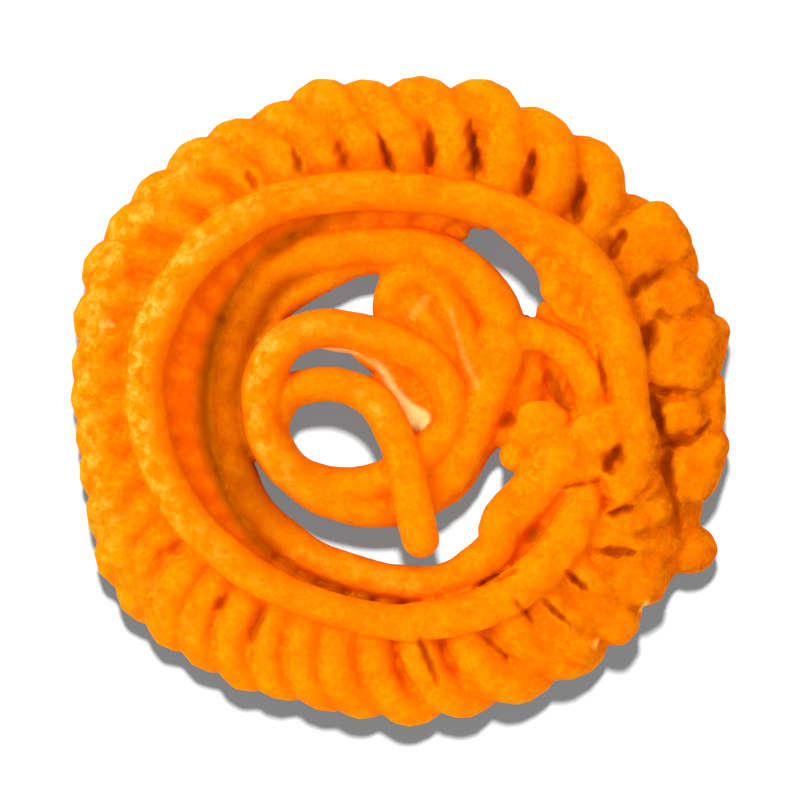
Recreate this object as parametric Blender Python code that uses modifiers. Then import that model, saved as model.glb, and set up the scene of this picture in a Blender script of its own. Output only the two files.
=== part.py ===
"""A jalebi of the ringed kind: one strand of batter, piped in rings and a frill of loops, then fried.

Run with: blender --background --factory-startup --python part.py

The strand starts at a free end in the middle, winds outward in uneven turns, crosses a knobby mass,
runs once round as the top ring and then goes round again in small overlapping loops, the frill.
Sizes are in millimetres with +Z up. The sweet lies on its frill at Z = 0, centred on the origin.
"""

import math
import random

import bmesh
import bpy
from mathutils import Matrix, Vector

MM = 0.001

# Driving dimensions.
RING_HEIGHT = 9.9           # height of the top ring's middle line
END_DROP = 2.4              # how far the ring's ends sink
FRILL_STRAND = 3.05         # half thickness of the strand in the frill
FRILL_MIDDLE = 4.9          # height of the frill's middle
FRILL_RISE = 2.1            # how far a loop's upper and lower halves lie from that
FRILL_LEAN = 3.6            # how far the two halves of a loop are spread along the ring
FRILL_REACH = 29.6          # how far in the loops reach, measured from the middle
LOOP_STEPS = 22             # points round one loop
SKIN_DRAW = 0.45            # how far fusing draws the skin in at the tip of a loop
CORE_DISTANCES = (35.2, 39.4, 43.6)
CORE_HEIGHT = 4.4
CORE_STRAND = 2.5
RIM_INSET = 4.6             # the filling just inside the loops' outer ends
RIM_HEIGHT = 4.9
RIM_STRAND = 2.6
RIM_SWELL = 0.7             # how much thicker it is on the left
FUSED_RISE = 1.2            # how much higher the filling stands where loops ran together
VOXEL = 0.62                # grain at which the turns of the strand are fused into one solid
FACETS = 9000               # facets left before the underside is cut flat
SEED = 7

# Stretches of the frill that differ: the angle of the middle of the stretch, half its width where
# the change sets in, and half its width where it is full.
LEFT_STRETCH = (165, 60, 40)
TOP_STRETCH = (92, 30, 14)
RIGHT_STRETCH = (0, 28, 14)
FINE_STRETCH = (88, 44, 30)
BROAD_STRETCH = (316, 34, 20)
RING_END = (339, 18, 2)
FUSED_LEFT = (172, 62, 36)
FUSED_RIGHT = (335, 62, 42)
FUSED_TIPS = (90, 42, 30)
FUSED_TOP = (62, 48, 32)
REACH_LEFT = 28.9           # reach inward where the loops touch the inner turn
REACH_TOP = 26.0
RISE_RIGHT = 0.7            # rise where the strand was laid thin
FINE = 0.3                  # change of half thickness in the fine and the broad stretch
BROAD = 0.5

# Top ring, clockwise from its end under the knobby mass to its broad end: angle in degrees,
# distance from the middle, half thickness.
RING = (
    (-23, 30.6, 2.6), (-32, 31.7, 3.3), (-42, 32.8, 3.3), (-54, 33.4, 3.3), (-70, 33.7, 3.1),
    (-90, 33.3, 2.8), (-110, 33.1, 2.6), (-130, 34.2, 2.9), (-150, 36.2, 3.1), (-170, 37.8, 3.1),
    (-190, 38.6, 3.1), (-210, 37.7, 3.3), (-230, 35.8, 3.2), (-250, 33.1, 3.2), (-270, 31.4, 3.1),
    (-290, 31.7, 3.0), (-310, 33.5, 3.1), (-325, 35.1, 3.2), (-340, 34.6, 3.3), (-350, 34.8, 3.0),
    (-358, 34.7, 2.8), (-365, 35.4, 3.1), (-371, 36.5, 3.6), (-377, 36.6, 4.0), (-380, 36.4, 4.0),
)

# The free stretches of the strand: x, y, height of the middle line, half thickness.
CENTRE = (
    (24.8, -8.3, 9.2, 3.8), (21.2, -12.6, 8.3, 3.8), (16.2, -18.0, 7.4, 3.7), (14.6, -22.6, 6.9, 3.2),
    (7.6, -27.2, 6.5, 2.8), (0.0, -27.6, 6.2, 2.8), (-9.0, -25.3, 5.9, 2.8), (-15.6, -21.9, 5.6, 2.8),
    (-22.6, -14.8, 5.2, 2.7), (-25.6, -3.0, 5.0, 2.6), (-24.4, 9.0, 5.3, 2.7), (-20.3, 18.0, 5.9, 2.9),
    (-14.4, 21.6, 6.3, 3.0), (-6.0, 23.3, 6.7, 3.1), (1.5, 23.2, 6.9, 3.1), (7.2, 21.5, 6.9, 3.1),
    (12.5, 17.8, 6.8, 3.1), (15.7, 12.4, 6.8, 3.1), (15.8, 7.2, 6.9, 3.1), (13.5, 1.2, 7.0, 3.1),
    (11.0, -5.3, 6.6, 3.1), (7.4, -11.3, 6.0, 3.1), (2.3, -15.3, 5.6, 3.1), (-3.8, -16.2, 5.6, 3.1),
    (-10.5, -14.7, 6.1, 3.1), (-16.8, -10.4, 6.9, 3.1), (-20.4, -4.5, 7.6, 3.1), (-20.7, 2.3, 8.0, 3.1),
    (-18.0, 8.0, 8.1, 3.1), (-13.5, 10.4, 8.1, 3.0), (-8.3, 10.6, 8.0, 2.9), (-2.3, 9.2, 7.8, 3.0),
    (3.0, 6.6, 7.5, 3.0), (6.9, 2.3, 7.2, 3.0), (7.8, -2.8, 7.0, 3.0), (4.8, -7.2, 7.2, 3.1),
    (-1.8, -11.6, 7.2, 3.0), (-8.6, -13.0, 6.8, 2.9), (-15.6, -10.9, 6.2, 2.8), (-19.1, -4.8, 5.7, 2.8),
    (-17.6, 0.1, 5.9, 2.8), (-14.3, 2.0, 6.4, 2.7), (-9.6, 2.4, 7.0, 2.7), (-4.2, 0.3, 7.8, 2.8),
    (-1.1, -4.2, 8.6, 2.85), (0.8, -9.8, 9.5, 2.9), (2.1, -15.8, 9.9, 2.9), (3.2, -20.8, 9.2, 2.85),
)
INNER_TURN_EDGE = (
    (-23.4, 3.0, 4.6, 2.4), (-21.6, 9.0, 4.4, 2.5), (-18.0, 14.2, 4.4, 2.4), (-12.6, 18.0, 4.6, 2.4),
    (-6.0, 20.9, 5.0, 2.4), (1.0, 22.0, 5.4, 2.6),
)
TUCKED_LOOP = (
    (0.0, 8.3, 4.8, 2.9), (-1.2, 13.5, 5.2, 2.9), (-0.3, 17.3, 5.8, 2.9), (2.7, 18.9, 6.1, 2.9),
    (6.3, 17.0, 6.1, 2.8), (9.0, 12.5, 5.7, 2.6), (10.8, 7.5, 5.4, 2.5), (12.0, 3.0, 5.2, 2.5),
)
LOWER_STRAND = (
    (1.6, 14.6, 5.4, 3.0), (4.4, 11.2, 5.2, 3.0), (6.9, 7.4, 5.0, 2.8), (9.0, 2.5, 4.6, 2.4),
)
INNER_DOUBLING = (
    (-5.0, 7.7, 6.4, 2.2), (-1.9, 5.2, 5.6, 2.4), (1.0, 2.5, 5.2, 2.5), (4.6, 0.4, 5.2, 2.5),
    (6.9, -3.6, 5.4, 2.5), (4.5, -8.0, 5.6, 2.6),
)
SIDE_STRAND = (
    (16.4, 4.0, 5.0, 2.6), (15.4, -1.5, 4.8, 2.6), (12.4, -6.8, 4.6, 2.4), (9.0, -11.6, 4.6, 2.4),
    (4.5, -15.0, 4.8, 2.6),
)
BRIDGE = (
    (15.0, 10.0, 6.4, 2.8), (20.2, 9.8, 7.2, 2.7), (25.0, 7.6, 7.8, 2.7), (28.4, 3.6, 8.2, 2.8),
    (29.0, -0.4, 8.2, 2.8), (27.8, -4.4, 8.0, 2.8),
)
BRIDGE_LOWER = (
    (18.6, 10.6, 4.4, 2.5), (20.2, 5.6, 4.2, 2.6), (19.6, 1.0, 4.4, 2.6), (19.6, -5.0, 6.0, 2.8),
)
PIT_FLOOR = (
    (20.0, 7.0, 3.0, 2.6), (23.6, 4.6, 3.1, 2.9), (25.0, -0.6, 3.3, 3.2), (26.0, -8.0, 3.6, 3.2),
    (22.0, -18.0, 3.6, 3.2), (16.0, -24.0, 4.0, 2.8), (8.0, -27.4, 4.6, 2.4),
)
GROOVE_FLOOR = (
    (22.6, 13.2, 5.4, 2.0), (27.0, 10.4, 6.2, 2.4), (29.8, 6.0, 6.4, 2.4), (30.8, 1.0, 7.0, 2.4),
    (30.6, -4.0, 7.6, 2.6),
)
TOP_FILLING = (
    (-12.0, 26.2, 4.6, 2.4), (-6.0, 27.8, 4.6, 2.4), (0.0, 27.8, 4.6, 2.4), (5.0, 27.0, 4.4, 2.2),
    (8.6, 25.8, 4.4, 2.0),
)
LOWER_FILLING = (
    (-24.0, -13.0, 3.6, 2.2), (-20.7, -18.4, 3.4, 2.4), (-15.0, -24.6, 3.4, 2.4), (-7.5, -28.8, 3.4, 2.4),
    (0.0, -30.2, 3.6, 2.4), (8.0, -30.2, 4.2, 2.4), (15.0, -27.0, 4.8, 2.6), (20.4, -21.0, 4.8, 2.8),
    (24.0, -14.0, 4.8, 2.8),
)
LEFT_FILLING = (
    (-22.6, 15.6, 3.4, 2.3), (-26.2, 8.0, 3.3, 2.6), (-27.8, 0.0, 3.3, 2.6), (-27.0, -7.6, 3.3, 2.6),
    (-24.0, -13.0, 3.6, 2.4),
)
FORK_FILLING = (
    (24.0, -15.6, 7.4, 2.2), (20.2, -21.2, 6.2, 2.0), (14.4, -26.4, 5.8, 2.2),
)
RING_DOUBLING = (
    (15.6, 26.9, 8.6, 2.0), (19.7, 23.8, 8.6, 2.3), (22.4, 20.8, 8.6, 2.4), (23.8, 17.4, 8.6, 2.4),
    (25.6, 14.2, 8.4, 2.4), (29.0, 12.0, 8.4, 2.4), (31.4, 7.6, 8.6, 2.2), (32.6, 2.0, 8.6, 2.2),
)

# Frill loops, anticlockwise from the right: angle in degrees and outer reach of each.
LOOPS = (
    (0, 47.0), (11, 47.0), (22, 47.4), (35, 48.3), (51, 49.2), (62, 48.6), (74, 49.6), (86, 48.6),
    (97, 47.9), (105, 49.2), (114, 48.2), (123, 49.0), (131, 50.3), (140, 50.6), (148, 51.0),
    (156, 51.6), (165, 50.7), (173, 49.5), (180, 49.3), (187, 49.0), (194, 49.4), (202, 50.5),
    (210, 51.9), (217, 51.9), (225, 51.2), (232, 50.5), (240, 49.7), (247, 48.6), (255, 48.0),
    (263, 47.8), (272, 48.7), (283, 48.6), (294, 49.0), (305, 49.2), (315, 48.7), (324.5, 48.6),
    (335, 48.6), (350, 49.6),
)

# Lumps, each drawn out away from the middle: x, y, height of its middle, then half its length
# outward, half its width and half its depth.
LUMPS = (
    (17.4, -8.2, 7.6, 2.4, 2.5, 2.8), (19.0, -5.6, 8.0, 2.8, 2.6, 3.0), (28.2, 6.6, 3.4, 3.6, 4.4, 2.6),
    (16.4, -5.4, 5.2, 1.8, 2.2, 2.6), (43.9, -22.3, 4.4, 4.1, 3.9, 3.7), (20.4, 22.8, 9.4, 2.2, 2.0, 2.2),
    (24.4, 20.6, 9.6, 2.4, 2.4, 2.3), (26.8, 18.6, 9.6, 2.2, 2.8, 2.3), (23.6, 17.0, 8.8, 2.4, 2.4, 2.4),
    (25.6, 15.4, 9.0, 2.2, 2.2, 2.3), (15.0, -36.8, 6.6, 2.0, 2.2, 2.4), (40.0, -24.0, 4.4, 2.8, 3.4, 3.0),
)

# Broad chunks on the right side, where the batter ran together: x, y, height of its middle, then
# half its length, half its width, half its depth and the heading of its length in degrees.
CHUNKS = (
    (21.4, -3.4, 8.6, 4.0, 3.2, 3.2, -6), (25.4, -8.0, 8.7, 6.0, 4.2, 3.2, -4),
    (30.2, -4.6, 9.5, 4.2, 3.4, 3.2, 30), (22.4, -9.6, 8.2, 3.6, 3.2, 3.0, 40),
    (34.8, -11.4, 8.0, 4.8, 4.2, 3.6, -62), (36.0, -17.2, 6.9, 5.8, 3.3, 3.5, 24),
    (34.0, -26.6, 6.7, 6.4, 4.3, 3.5, -4), (30.4, -31.8, 6.4, 6.2, 3.2, 3.2, -36),
    (24.4, -35.4, 6.4, 5.8, 3.6, 3.2, -24), (42.6, 7.3, 6.5, 6.3, 5.4, 4.3, 72),
    (45.6, 8.2, 5.2, 5.0, 3.8, 3.6, 78), (42.6, -2.4, 6.4, 3.6, 2.8, 3.4, 10),
    (46.6, -0.8, 4.8, 5.0, 2.6, 3.4, 86), (44.8, -9.7, 5.0, 6.2, 3.9, 4.2, 70),
    (42.6, -17.0, 3.5, 3.6, 3.0, 3.0, 80), (40.4, 15.2, 6.9, 5.4, 3.8, 3.6, 22),
    (44.0, 14.6, 5.0, 3.4, 3.4, 3.4, 22), (37.4, 23.6, 6.8, 6.0, 5.4, 3.6, 32),
    (39.8, 21.8, 5.4, 4.4, 5.6, 3.4, 32), (33.6, -21.8, 5.6, 4.0, 4.0, 3.0, 0),
)
CHUNK_ROUNDING = 0.62       # how much of a chunk's half size its edges are rounded by

# A thin film of batter drawn out from the coil, ending in a drop.
FILM = (
    (-4.6, 6.6, 6.6, 1.0), (-0.6, 2.8, 6.4, 1.1), (2.2, -1.0, 6.2, 1.2), (3.2, -3.2, 5.9, 2.1),
)


def smooth_route(stations, steps=5):
    """Points of a smooth line through the stations, each a place and a half thickness."""
    line = [Vector(station) for station in stations]
    line = [2 * line[0] - line[1]] + line + [2 * line[-1] - line[-2]]
    route = []
    for before, here, there, after in zip(line, line[1:], line[2:], line[3:]):
        for step in range(steps):
            t = step / steps
            point = 2 * here
            point += (there - before) * t
            point += (2 * before - 5 * here + 4 * there - after) * t ** 2
            point += (3 * here - before - 3 * there + after) * t ** 3
            route.append(point / 2)
    route.append(line[-2])
    return route


def round_nose(end, next_to_end):
    """Points that carry a strand on past its end and close it roundly."""
    outward = (end.xyz - next_to_end.xyz).normalized()
    nose = []
    for degrees in (25, 50, 70, 85):
        turn = math.radians(degrees)
        place = end.xyz + outward * end.w * math.sin(turn)
        nose.append(Vector((*place, end.w * math.cos(turn))))
    return nose


def strand(name, route):
    """A closed, round-ended strand along a route, as a mesh."""
    route = round_nose(route[0], route[1])[::-1] + route + round_nose(route[-1], route[-2])
    curve = bpy.data.curves.new(name, "CURVE")
    curve.dimensions = "3D"
    curve.bevel_depth = MM
    curve.bevel_resolution = 3
    curve.use_fill_caps = True
    spline = curve.splines.new("POLY")
    spline.points.add(len(route) - 1)
    for point, station in zip(spline.points, route):
        point.co = (station.x * MM, station.y * MM, station.z * MM, 1.0)
        point.radius = station.w
    line = bpy.data.objects.new(name, curve)
    bpy.context.scene.collection.objects.link(line)
    evaluated = line.evaluated_get(bpy.context.evaluated_depsgraph_get())
    mesh = bpy.data.meshes.new_from_object(evaluated)
    bpy.data.objects.remove(line, do_unlink=True)
    return mesh


def share_of(stretch, degrees):
    """How fully a stretch's change holds at an angle, from 0 to 1."""
    middle, sets_in, full = stretch
    away = abs((degrees - middle + 180) % 360 - 180)
    share = min(max((sets_in - away) / (sets_in - full), 0.0), 1.0)
    return share * share * (3 - 2 * share)


def ring_route():
    """The ring that lies on top of the frill."""
    stations = []
    for degrees, distance, half in RING:
        turn = math.radians(degrees)
        height = RING_HEIGHT - END_DROP * share_of(RING_END, degrees)
        stations.append((distance * math.cos(turn), distance * math.sin(turn), height, half))
    return smooth_route(stations)


def frill_route():
    """Loop after loop round the sweet, each leaning on the one before it."""
    chance = random.Random(SEED)
    route = []
    turns = [*LOOPS[::-1], (LOOPS[0][0] - 9, LOOPS[0][1])]
    for (angle, reach), (next_angle, next_reach) in zip(turns, turns[1:]):
        lift = chance.uniform(-0.18, 0.18)
        swell = chance.uniform(-0.12, 0.18)
        for step in range(LOOP_STEPS):
            part = step / LOOP_STEPS
            degrees = angle + (next_angle - angle) * part
            half = FRILL_STRAND + swell
            half += FINE * share_of(FINE_STRETCH, degrees) + BROAD * share_of(BROAD_STRETCH, degrees)
            inner = FRILL_REACH + (REACH_LEFT - FRILL_REACH) * share_of(LEFT_STRETCH, degrees)
            inner += (REACH_TOP - inner) * share_of(TOP_STRETCH, degrees) + FRILL_STRAND
            outer = reach + (next_reach - reach) * part + SKIN_DRAW - FRILL_STRAND
            sunk = (FRILL_RISE - RISE_RIGHT) * share_of(RIGHT_STRETCH, degrees)
            wave = 2 * math.pi * part
            distance = (outer + inner) / 2 + (outer - inner) / 2 * math.cos(wave)
            turn = math.radians(degrees) - FRILL_LEAN * math.sin(wave) / distance
            height = FRILL_MIDDLE - sunk + lift + (FRILL_RISE - sunk + lift) * math.sin(wave)
            route.append(Vector((distance * math.cos(turn), distance * math.sin(turn), height, half)))
    return route


def fused(degrees, further):
    """How far the loops have run together at an angle, from 0 to 1."""
    return max(share_of(stretch, degrees) for stretch in (FUSED_LEFT, FUSED_RIGHT, further))


def core_route(distance):
    """Batter inside the frill, so that nothing in it is left hollow."""
    route = []
    for degrees in range(0, 361, 6):
        turn = math.radians(degrees)
        place = (distance * math.cos(turn), distance * math.sin(turn))
        height = CORE_HEIGHT + FUSED_RISE * fused(degrees, FUSED_TOP)
        route.append(Vector((*place, height, CORE_STRAND)))
    return route


def rim_route():
    """Batter just inside the outer ends of the loops, where they have run together."""
    stations = []
    for angle, reach in (*LOOPS, (360 + LOOPS[0][0], LOOPS[0][1])):
        turn = math.radians(angle)
        distance = reach - RIM_INSET
        height = RIM_HEIGHT + FUSED_RISE * fused(angle, FUSED_TIPS)
        half = RIM_STRAND + RIM_SWELL * share_of(FUSED_LEFT, angle)
        stations.append((distance * math.cos(turn), distance * math.sin(turn), height, half))
    return smooth_route(stations)


def lump(x, y, height, length, width, depth):
    """An egg-shaped lump, as a mesh."""
    bm = bmesh.new()
    grow = Matrix.Diagonal((length * MM, width * MM, depth * MM, 1.0))
    turn = Matrix.Rotation(math.atan2(y, x), 4, "Z")
    move = Matrix.Translation(Vector((x, y, height)) * MM)
    bmesh.ops.create_icosphere(bm, subdivisions=3, radius=1.0, matrix=move @ turn @ grow)
    mesh = bpy.data.meshes.new("lump")
    bm.to_mesh(mesh)
    bm.free()
    return mesh


def chunk(x, y, height, length, width, depth, heading):
    """A chunk of batter with rounded edges and a flattish top, turned to a heading."""
    bm = bmesh.new()
    bmesh.ops.create_cube(bm, size=2.0)
    bmesh.ops.bevel(bm, geom=bm.edges[:], offset=CHUNK_ROUNDING, segments=4, profile=0.5, affect="EDGES")
    grow = Matrix.Diagonal((length * MM, width * MM, depth * MM, 1.0))
    turn = Matrix.Rotation(math.radians(heading), 4, "Z")
    move = Matrix.Translation(Vector((x, y, height)) * MM)
    bmesh.ops.transform(bm, verts=bm.verts, matrix=move @ turn @ grow)
    mesh = bpy.data.meshes.new("chunk")
    bm.to_mesh(mesh)
    bm.free()
    return mesh


def evaluated_mesh(mesh, modifiers):
    """The mesh after a list of modifiers, each a type and its settings."""
    piece = bpy.data.objects.new("piece", mesh)
    bpy.context.scene.collection.objects.link(piece)
    for kind, settings in modifiers:
        modifier = piece.modifiers.new(kind.title(), kind)
        for name, value in settings.items():
            setattr(modifier, name, value)
    evaluated = piece.evaluated_get(bpy.context.evaluated_depsgraph_get())
    result = bpy.data.meshes.new_from_object(evaluated)
    bpy.data.objects.remove(piece, do_unlink=True)
    return result


def joined(meshes):
    """Several closed meshes in one."""
    bm = bmesh.new()
    for mesh in meshes:
        bm.from_mesh(mesh)
        bpy.data.meshes.remove(mesh)
    bmesh.ops.remove_doubles(bm, verts=bm.verts, dist=0.00001)
    mesh = bpy.data.meshes.new("joined")
    bm.to_mesh(mesh)
    bm.free()
    return mesh


def drop_bubbles(bm):
    """Remove the skins of bubbles inside the batter, keeping the outer skin."""
    left = set(bm.verts)
    shells = []
    while left:
        start = left.pop()
        shell = {start}
        rim = [start]
        while rim:
            vert = rim.pop()
            for edge in vert.link_edges:
                neighbour = edge.other_vert(vert)
                if neighbour not in shell:
                    shell.add(neighbour)
                    rim.append(neighbour)
        left -= shell
        shells.append(shell)
    shells.sort(key=len)
    for shell in shells[:-1]:
        bmesh.ops.delete(bm, geom=list(shell), context="VERTS")


def cut_flat(bm):
    """Cut the undersides of the loops level at Z = 0, so that the sweet lies still."""
    whole = bm.verts[:] + bm.edges[:] + bm.faces[:]
    bmesh.ops.bisect_plane(bm, geom=whole, dist=0.000001, plane_co=(0, 0, 0), plane_no=(0, 0, -1),
                           clear_outer=True)
    rims = [edge for edge in bm.edges if edge.is_boundary]
    for edge in rims:
        for vert in edge.verts:
            vert.co.z = 0.0
    bmesh.ops.contextual_create(bm, geom=rims)
    bmesh.ops.triangulate(bm, faces=bm.faces)


def centre(bm):
    """Bring the middle of the outline over the origin."""
    xs = [vert.co.x for vert in bm.verts]
    ys = [vert.co.y for vert in bm.verts]
    middle = Vector(((min(xs) + max(xs)) / 2, (min(ys) + max(ys)) / 2, 0.0))
    bmesh.ops.translate(bm, verts=bm.verts, vec=-middle)


def fried_batter():
    """Saturated orange batter, glossy with syrup."""
    material = bpy.data.materials.new("syrup_glazed_batter")
    material.use_nodes = True
    shader = material.node_tree.nodes["Principled BSDF"]
    shader.inputs["Base Color"].default_value = (0.95, 0.26, 0.01, 1.0)
    shader.inputs["Roughness"].default_value = 0.35
    shader.inputs["Metallic"].default_value = 0.0
    return material


def jalebi():
    """The whole sweet as one closed solid."""
    pieces = [strand("top_ring", ring_route()), strand("frill", frill_route()), strand("rim", rim_route())]
    for distance in CORE_DISTANCES:
        pieces.append(strand("core", core_route(distance)))
    for stations in (CENTRE, INNER_TURN_EDGE, TUCKED_LOOP, LOWER_STRAND, INNER_DOUBLING, SIDE_STRAND,
                     BRIDGE, BRIDGE_LOWER, PIT_FLOOR, GROOVE_FLOOR, TOP_FILLING, LOWER_FILLING,
                     LEFT_FILLING, FORK_FILLING, RING_DOUBLING, FILM):
        pieces.append(strand("strand", smooth_route(stations)))
    for sizes in LUMPS:
        pieces.append(lump(*sizes))
    for sizes in CHUNKS:
        pieces.append(chunk(*sizes))
    fuse = ("REMESH", {"mode": "VOXEL", "voxel_size": VOXEL * MM})
    settle = ("SMOOTH", {"factor": 0.5, "iterations": 4})
    skin = evaluated_mesh(joined(pieces), (fuse, settle))
    bm = bmesh.new()
    bm.from_mesh(skin)
    drop_bubbles(bm)
    triangles = 2 * len(bm.faces)
    bm.to_mesh(skin)
    bm.free()
    solid = evaluated_mesh(skin, [("DECIMATE", {"ratio": FACETS / triangles})])
    bm = bmesh.new()
    bm.from_mesh(solid)
    cut_flat(bm)
    centre(bm)
    bm.to_mesh(solid)
    bm.free()
    solid.name = "jalebi"
    solid.shade_smooth()
    solid.materials.append(fried_batter())
    return bpy.data.objects.new("jalebi", solid)


for old in list(bpy.data.objects):
    bpy.data.objects.remove(old, do_unlink=True)
sweet = bpy.data.collections.new("Jalebi")
bpy.context.scene.collection.children.link(sweet)
sweet.objects.link(jalebi())
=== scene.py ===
import math
import random

import bmesh
import bpy
import numpy as np
from mathutils import Matrix, Vector, noise
from mathutils.bvhtree import BVHTree


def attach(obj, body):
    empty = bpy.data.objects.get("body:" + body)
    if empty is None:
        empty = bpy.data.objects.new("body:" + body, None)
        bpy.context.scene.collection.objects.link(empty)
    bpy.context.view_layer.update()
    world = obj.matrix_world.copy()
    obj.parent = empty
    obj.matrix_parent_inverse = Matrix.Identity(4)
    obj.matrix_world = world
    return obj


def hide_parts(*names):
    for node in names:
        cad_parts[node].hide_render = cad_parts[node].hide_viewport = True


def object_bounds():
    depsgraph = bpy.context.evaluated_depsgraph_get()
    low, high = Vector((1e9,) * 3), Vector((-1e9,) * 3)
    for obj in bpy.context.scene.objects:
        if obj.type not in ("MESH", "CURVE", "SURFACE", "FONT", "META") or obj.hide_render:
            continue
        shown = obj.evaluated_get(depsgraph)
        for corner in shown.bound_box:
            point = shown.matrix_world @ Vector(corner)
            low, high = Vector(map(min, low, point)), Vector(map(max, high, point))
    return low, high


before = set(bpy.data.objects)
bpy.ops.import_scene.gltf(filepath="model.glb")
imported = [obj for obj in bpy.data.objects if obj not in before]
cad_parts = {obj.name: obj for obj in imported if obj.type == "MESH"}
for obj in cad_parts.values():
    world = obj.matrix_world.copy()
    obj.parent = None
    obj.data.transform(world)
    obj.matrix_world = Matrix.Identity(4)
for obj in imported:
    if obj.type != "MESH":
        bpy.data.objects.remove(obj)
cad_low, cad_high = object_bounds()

# Camera ------------------------------------------------------------------------------------------
# The sweet is looked at from straight above, from far enough away that its low sides hardly
# spread. The middle of the view lies a little off the middle of the outline.

MM = 0.001
VIEW_WIDTH = 120.0                  # mm across the view at the height of the upper strands
VIEW_HEIGHT = 1200.0                # mm from the upper strands to the camera
UPPER_STRANDS = 9.0
VIEW_MIDDLE = (-0.04, 0.18)

camera_data = bpy.data.cameras.new("camera")
camera_data.sensor_width = 36.0
camera_data.lens = camera_data.sensor_width * VIEW_HEIGHT / VIEW_WIDTH
camera_data.clip_start = 0.05
camera_data.clip_end = 20.0
camera = bpy.data.objects.new("camera", camera_data)
camera.location = Vector((*VIEW_MIDDLE, UPPER_STRANDS + VIEW_HEIGHT)) * MM
bpy.context.collection.objects.link(camera)
bpy.context.scene.camera = camera
bpy.context.scene.view_settings.view_transform = "Standard"


# Jalebi ------------------------------------------------------------------------------------------
# One strand of fermented batter, squeezed from a cloth into hot fat in one go: a free end and a
# coil in the middle, a ring round it, and small overlapping loops round the ring. Frying puffs the
# strand and fuses its turns, and a bath of sugar syrup leaves it glossy.

RING_HEIGHT = 9.9                   # height of the top ring's middle line
END_DROP = 2.4                      # how far the ring's ends sink
FRILL_STRAND = 3.05                 # half thickness of the strand in the frill
TOP_SWELL = 0.3                     # how much thicker it is at the top
CORNER_SWELL = 0.5                  # and at the lower right
FRILL_MIDDLE = 4.9                  # height of the frill's middle
FRILL_RISE = 2.1                    # how far a loop's upper and lower halves lie from that
RISE_RIGHT = 0.7                    # the same on the right, where the strand was laid thin
FRILL_LEAN = 3.6                    # how far the two halves of a loop are spread along the ring
FRILL_REACH = 29.6                  # how far in the loops reach, measured from the middle
REACH_LEFT = 28.9                   # the same on the left, where they touch the inner turn
REACH_TOP = 26.0                    # and at the top
LOOP_STEPS = 22                     # points round one loop
LOOP_LIFT = 0.18                    # how much the loops differ in height
LOOP_SWELL = (-0.12, 0.18)          # and in half thickness
LAST_TURN = 9                       # degrees that the strand runs on past the first loop
SKIN_DRAW = 0.45                    # how far fusing draws the skin in at the tip of a loop
CORE_DISTANCES = (35.2, 39.4, 43.6)
CORE_HEIGHT = 4.4
CORE_STRAND = 2.5
CORE_STEP = 6                       # degrees between the points of the filling
RIM_INSET = 4.6                     # the filling just inside the loops' outer ends
RIM_HEIGHT = 4.9
RIM_STRAND = 2.6
RIM_SWELL = 0.7                     # how much thicker it is on the left
FUSED_RISE = 1.2                    # how much higher the filling stands where loops ran together
STRAND_SIDES = 16
NOSE_TURNS = (25, 50, 70, 85)       # degrees at which a strand's end is drawn in
GRAIN = 0.38                        # grain at which the turns of the strand are fused
SEED = 7
TRIANGLES = 190000
# Stretches that differ: the angle of the middle of the stretch, half its width where the change
# sets in, and half its width where it is full.
LEFT_STRETCH = (165, 60, 40)
TOP_STRETCH = (92, 30, 14)
RIGHT_STRETCH = (0, 28, 14)
THICK_TOP = (88, 44, 30)
THICK_CORNER = (316, 34, 20)
RING_END = (339, 18, 2)
FUSED_LEFT = (172, 62, 36)
FUSED_RIGHT = (335, 62, 42)
FUSED_TIPS = (90, 42, 30)
FUSED_TOP = (62, 48, 32)

# Top ring, clockwise from its end under the knobby mass to its broad end: angle in degrees,
# distance from the middle, half thickness.
RING = (
    (-23, 30.6, 2.6), (-32, 31.7, 3.3), (-42, 32.8, 3.3), (-54, 33.4, 3.3), (-70, 33.7, 3.1),
    (-90, 33.3, 2.8), (-110, 33.1, 2.6), (-130, 34.2, 2.9), (-150, 36.2, 3.1), (-170, 37.8, 3.1),
    (-190, 38.6, 3.1), (-210, 37.7, 3.3), (-230, 35.8, 3.2), (-250, 33.1, 3.2), (-270, 31.4, 3.1),
    (-290, 31.7, 3.0), (-310, 33.5, 3.1), (-325, 35.1, 3.2), (-340, 34.6, 3.3), (-350, 34.8, 3.0),
    (-358, 34.7, 2.8), (-365, 35.4, 3.1), (-371, 36.5, 3.6), (-377, 36.6, 4.0), (-380, 36.4, 4.0),
)

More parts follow.
